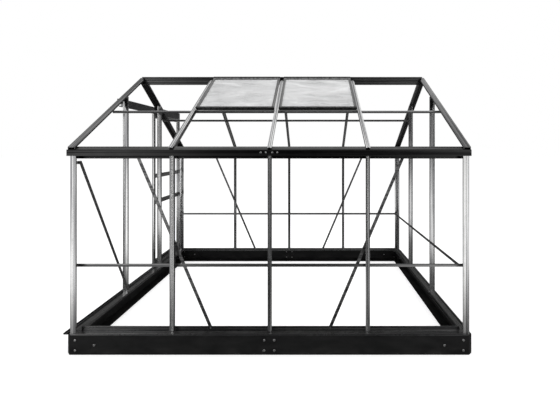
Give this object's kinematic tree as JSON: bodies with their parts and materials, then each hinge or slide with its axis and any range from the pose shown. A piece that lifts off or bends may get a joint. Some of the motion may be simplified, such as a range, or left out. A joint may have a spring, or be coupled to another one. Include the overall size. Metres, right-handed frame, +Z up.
{
  "type": "greenhouse frame",
  "caption": "Walk-in greenhouse frame of aluminium bars on a black steel base, with a sliding door in one gable and hinged roof vents in the front slope.",
  "frame": {"origin": "on the ground at the middle of the whole footprint", "axes": "+X along the ridge, from the door gable to the far gable; +Y from the front wall with the roof vents over it to the back wall; +Z up"},
  "size_m": [2.598, 1.954, 1.9396],
  "materials": {
    "base_steel": "satin",
    "black_bolts": "satin",
    "aluminium": "mill",
    "strip_aluminium": "mill",
    "track_black": "satin",
    "zinc_steel": "satin",
    "nylon_wheel": "matte",
    "vent_pane": "satin"
  },
  "bodies": {
    "frame": {"base_bolts": "black_bolts", "base_corners": "base_steel", "base_rail_back_left": "base_steel", "base_rail_back_right": "base_steel", "base_rail_door_end": "base_steel", "base_rail_far_end": "base_steel", "base_rail_front_left": "base_steel", "base_rail_front_right": "base_steel", "base_splice_plates": "base_steel", "brace_door_end": "strip_aluminium", "corner_post_back_door": "aluminium", "corner_post_back_far": "aluminium", "corner_post_front_door": "aluminium", "corner_post_front_far": "aluminium", "door_post_back": "aluminium", "door_post_front": "aluminium", "door_track": "track_black", "eaves_gutter_back": "aluminium", "eaves_gutter_front": "aluminium", "frame_bolts": "zinc_steel", "gable_posts_far": "aluminium", "gable_rafter_door_back": "aluminium", "gable_rafter_door_front": "aluminium", "gable_rafter_far_back": "aluminium", "gable_rafter_far_front": "aluminium", "girt_back": "strip_aluminium", "girt_far_end": "strip_aluminium", "girt_front": "strip_aluminium", "purlins": "aluminium", "ridge_bar": "aluminium", "roof_bar_front_centre": "aluminium", "roof_bar_front_left": "aluminium", "roof_bar_front_right": "aluminium", "roof_bars_back": "aluminium", "side_bar_front_centre": "aluminium", "side_bar_front_left": "aluminium", "side_bar_front_right": "aluminium", "side_bars_back": "aluminium", "sill_back": "aluminium", "sill_door_end": "aluminium", "sill_far_end": "aluminium", "sill_front": "aluminium", "track_brackets": "aluminium", "vent_sills": "aluminium", "wall_braces": "strip_aluminium"},
    "door": {"door_bottom_rail": "aluminium", "door_cross_rails": "aluminium", "door_hangers": "zinc_steel", "door_stile_back": "aluminium", "door_stile_front": "aluminium", "door_top_rail": "aluminium"},
    "wheel_front": {"door_wheel_front": "nylon_wheel"},
    "wheel_back": {"door_wheel_back": "nylon_wheel"},
    "vent_left": {"vent_frame_left": "aluminium", "vent_pane_left": "vent_pane"},
    "vent_right": {"vent_frame_right": "aluminium", "vent_pane_right": "vent_pane"},
    "stay_left": {"vent_stay_left": "aluminium"},
    "stay_right": {"vent_stay_right": "aluminium"}
  },
  "joints": [
    {"name": "door_slide", "type": "slide", "parent": "frame", "child": "door", "axis": [0, 1, 0], "range_m": [-0.62, 0]},
    {"name": "door_wheel_front_spin", "type": "hinge", "parent": "door", "child": "wheel_front", "pos_m": [-1.2835, 0.378, 1.65435], "axis": [1, 0, 0], "range_deg": [-10, 3840]},
    {"name": "door_wheel_back_spin", "type": "hinge", "parent": "door", "child": "wheel_back", "pos_m": [-1.2835, 0.858, 1.65435], "axis": [1, 0, 0], "range_deg": [-10, 3840]},
    {"name": "vent_left_tilt", "type": "hinge", "parent": "frame", "child": "vent_left", "pos_m": [-0.304, -0.025, 1.934], "axis": [-1, 0, 0], "range_deg": [0, 45]},
    {"name": "vent_right_tilt", "type": "hinge", "parent": "frame", "child": "vent_right", "pos_m": [0.322, -0.025, 1.934], "axis": [-1, 0, 0], "range_deg": [0, 45]},
    {"name": "vent_stay_left_swing", "type": "hinge", "parent": "vent_left", "child": "stay_left", "pos_m": [-0.44, -0.46147, 1.62129], "axis": [0, 0.8393, 0.5437], "range_deg": [0, 90]},
    {"name": "vent_stay_right_swing", "type": "hinge", "parent": "vent_right", "child": "stay_right", "pos_m": [0.458, -0.46147, 1.62129], "axis": [0, -0.8393, -0.5437], "range_deg": [0, 90]}
  ],
  "couplings": [
    {"joint": "door_wheel_front_spin", "follows": "door_slide", "rad_per_m": -107.53},
    {"joint": "door_wheel_back_spin", "follows": "door_slide", "rad_per_m": -107.53}
  ]
}
